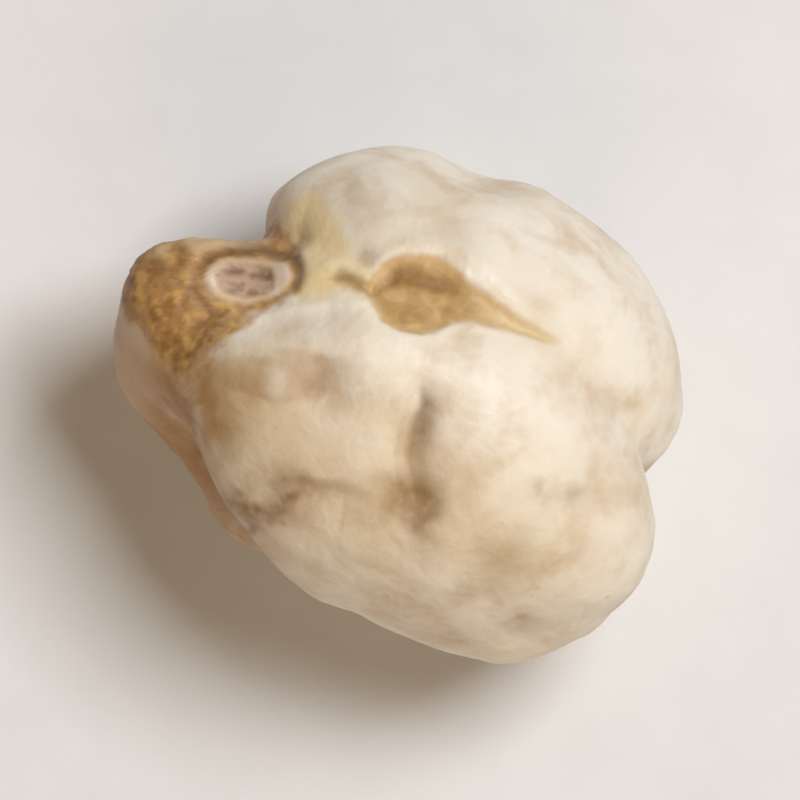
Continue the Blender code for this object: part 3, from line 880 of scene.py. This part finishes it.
def dapple(tree, spacing, detail, low, high):
    """Cloudy noise with patches this many millimetres apart, stretched to run from 0 to 1."""
    place = add(tree, "ShaderNodeTexCoord", {})
    cloud = add(tree, "ShaderNodeTexNoise",
                {"Scale": 1 / (spacing * MM), "Detail": detail, "Roughness": 0.55},
                [("Vector", place.outputs["Object"])])
    return add(tree, "ShaderNodeMapRange", {"From Min": low, "From Max": high},
               [("Value", cloud.outputs["Fac"])]).outputs["Result"]


def specks(tree, spacing, radius):
    """Small round spots, one here and there in cells this many millimetres apart."""
    place = add(tree, "ShaderNodeTexCoord", {})
    cell = add(tree, "ShaderNodeTexVoronoi", {"Scale": 1 / (spacing * MM), "Randomness": 1.0},
               [("Vector", place.outputs["Object"])])
    spot = add(tree, "ShaderNodeMapRange",
               {"From Min": radius / spacing, "From Max": 0.4 * radius / spacing},
               [("Value", cell.outputs["Distance"])])
    rarity = add(tree, "ShaderNodeSeparateColor", {}, [(0, cell.outputs["Color"])])
    chosen = add(tree, "ShaderNodeMapRange", {"From Min": 0.72, "From Max": 0.95},
                 [("Value", rarity.outputs[0])])
    both = add(tree, "ShaderNodeMath", {"operation": "MULTIPLY"},
               [(0, spot.outputs["Result"]), (1, chosen.outputs["Result"])])
    return both.outputs[0]


def clouded(tree, colour, clouds):
    """The colour with soft clouds of others over it."""
    for spacing, detail, low, high, hex_colour, most in clouds:
        colour = laid_over(tree, colour, dapple(tree, spacing, detail, low, high), hex_colour, most)
    return colour


def coat_colour(tree):
    """Cream, clouded with tan and paler cream, stained and darkened with painted shade in its hollows and
    grooves, lightened with painted highlight on its crests and along the lobe's edge, and marked at its
    scars.
    """
    colour = painted(tree, clouded(tree, CREAM, CLOUDS), LAYERS)
    spacing, radius, hex_colour, most = SPECKS
    return laid_over(tree, colour, specks(tree, spacing, radius), hex_colour, most)


def dried_seed_coat():
    """The dry seed coat, cream and tan.

    To the eye it is tough and matt, with a fine tooth that breaks up its soft, faintly waxy shine, and a
    little light goes into it, which warms the edges of the shadows.
    """
    material = bpy.data.materials.new("dried_seed_coat")
    material.use_nodes = True
    tree = material.node_tree
    shader = tree.nodes["Principled BSDF"]
    tree.links.new(coat_colour(tree), shader.inputs["Base Color"])
    wax = dapple(tree, WAX_SPACING, detail=3, low=0.3, high=0.7)
    dullness = add(tree, "ShaderNodeMapRange", {"To Min": 0.44, "To Max": 0.62}, [("Value", wax)])
    tree.links.new(dullness.outputs["Result"], shader.inputs["Roughness"])
    height = dapple(tree, TOOTH_SPACING, detail=3, low=0.2, high=0.8)
    tooth = add(tree, "ShaderNodeBump", {"Strength": 0.45, "Distance": TOOTH_DEPTH * MM},
                [("Height", height)])
    tree.links.new(tooth.outputs["Normal"], shader.inputs["Normal"])
    shader.inputs["Metallic"].default_value = 0.0
    shader.inputs["IOR"].default_value = 1.46
    shader.inputs["Subsurface Weight"].default_value = 0.12
    shader.inputs["Subsurface Radius"].default_value = (1.0, 0.62, 0.35)
    shader.inputs["Subsurface Scale"].default_value = 0.5 * MM
    return material


def white_card():
    """White card: to the eye smooth and matt, with a tone that is very slightly uneven."""
    material = bpy.data.materials.new("white_card")
    material.use_nodes = True
    tree = material.node_tree
    shader = tree.nodes["Principled BSDF"]
    tree.links.new(clouded(tree, CARD, CARD_CLOUDS), shader.inputs["Base Color"])
    shader.inputs["Roughness"].default_value = 0.8
    return material


def floor():
    """A level square of white card under the seed."""
    mesh = bpy.data.meshes.new("floor")
    half = FLOOR_WIDTH / 2 * MM
    corners = [(-half, -half, 0), (half, -half, 0), (half, half, 0), (-half, half, 0)]
    mesh.from_pydata(corners, [], [(0, 1, 2, 3)])
    mesh.materials.append(white_card())
    board = bpy.data.objects.new("floor", mesh)
    bpy.context.scene.collection.objects.link(board)


def aimed(right, up, back, place):
    """The matrix that puts something at a place with its own axes along these directions."""
    matrix = Matrix((right, up, back)).transposed().to_4x4()
    matrix.translation = place
    return matrix


def camera():
    """A long lens straight above the seed, so that the picture shows almost no perspective."""
    data = bpy.data.cameras.new("camera")
    data.sensor_width = SENSOR
    data.lens = SENSOR * VIEW_DISTANCE / VIEW_WIDTH
    data.clip_start = 0.01
    item = bpy.data.objects.new("camera", data)
    bpy.context.scene.collection.objects.link(item)
    low, high = (Vector(corner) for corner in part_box("chickpea"))
    middle = (low + high) / 2 - VIEW_UP * VIEW_DROP * MM
    item.matrix_world = aimed(VIEW_RIGHT, VIEW_UP, VIEW_BACK, middle + VIEW_BACK * VIEW_DISTANCE * MM)
    bpy.context.scene.camera = item


def soft_box(name, toward, distance, width, watts, hex_colour):
    """A square soft light that lies this way from the seed, as right, up and back in the view."""
    right, up, back = toward
    way = (VIEW_RIGHT * right + VIEW_UP * up + VIEW_BACK * back).normalized()
    data = bpy.data.lights.new(name, "AREA")
    data.size = width * MM
    data.energy = watts
    data.color = linear(hex_colour)[:3]
    item = bpy.data.objects.new(name, data)
    item.location = way * distance * MM
    item.rotation_euler = way.to_track_quat("Z", "Y").to_euler()
    bpy.context.scene.collection.objects.link(item)


def lights():
    """A soft key light, a weaker warm fill from the other side and a faint warm light from all round."""
    for settings in LIGHTS:
        soft_box(*settings)
    hex_colour, strength = SURROUND
    world = bpy.data.worlds.new("studio")
    world.use_nodes = True
    background = world.node_tree.nodes["Background"]
    background.inputs["Color"].default_value = linear(hex_colour)
    background.inputs["Strength"].default_value = strength
    bpy.context.scene.world = world
    bpy.context.scene.view_settings.view_transform = "Standard"


def main():
    seed_object()
    floor()
    camera()
    lights()


main()
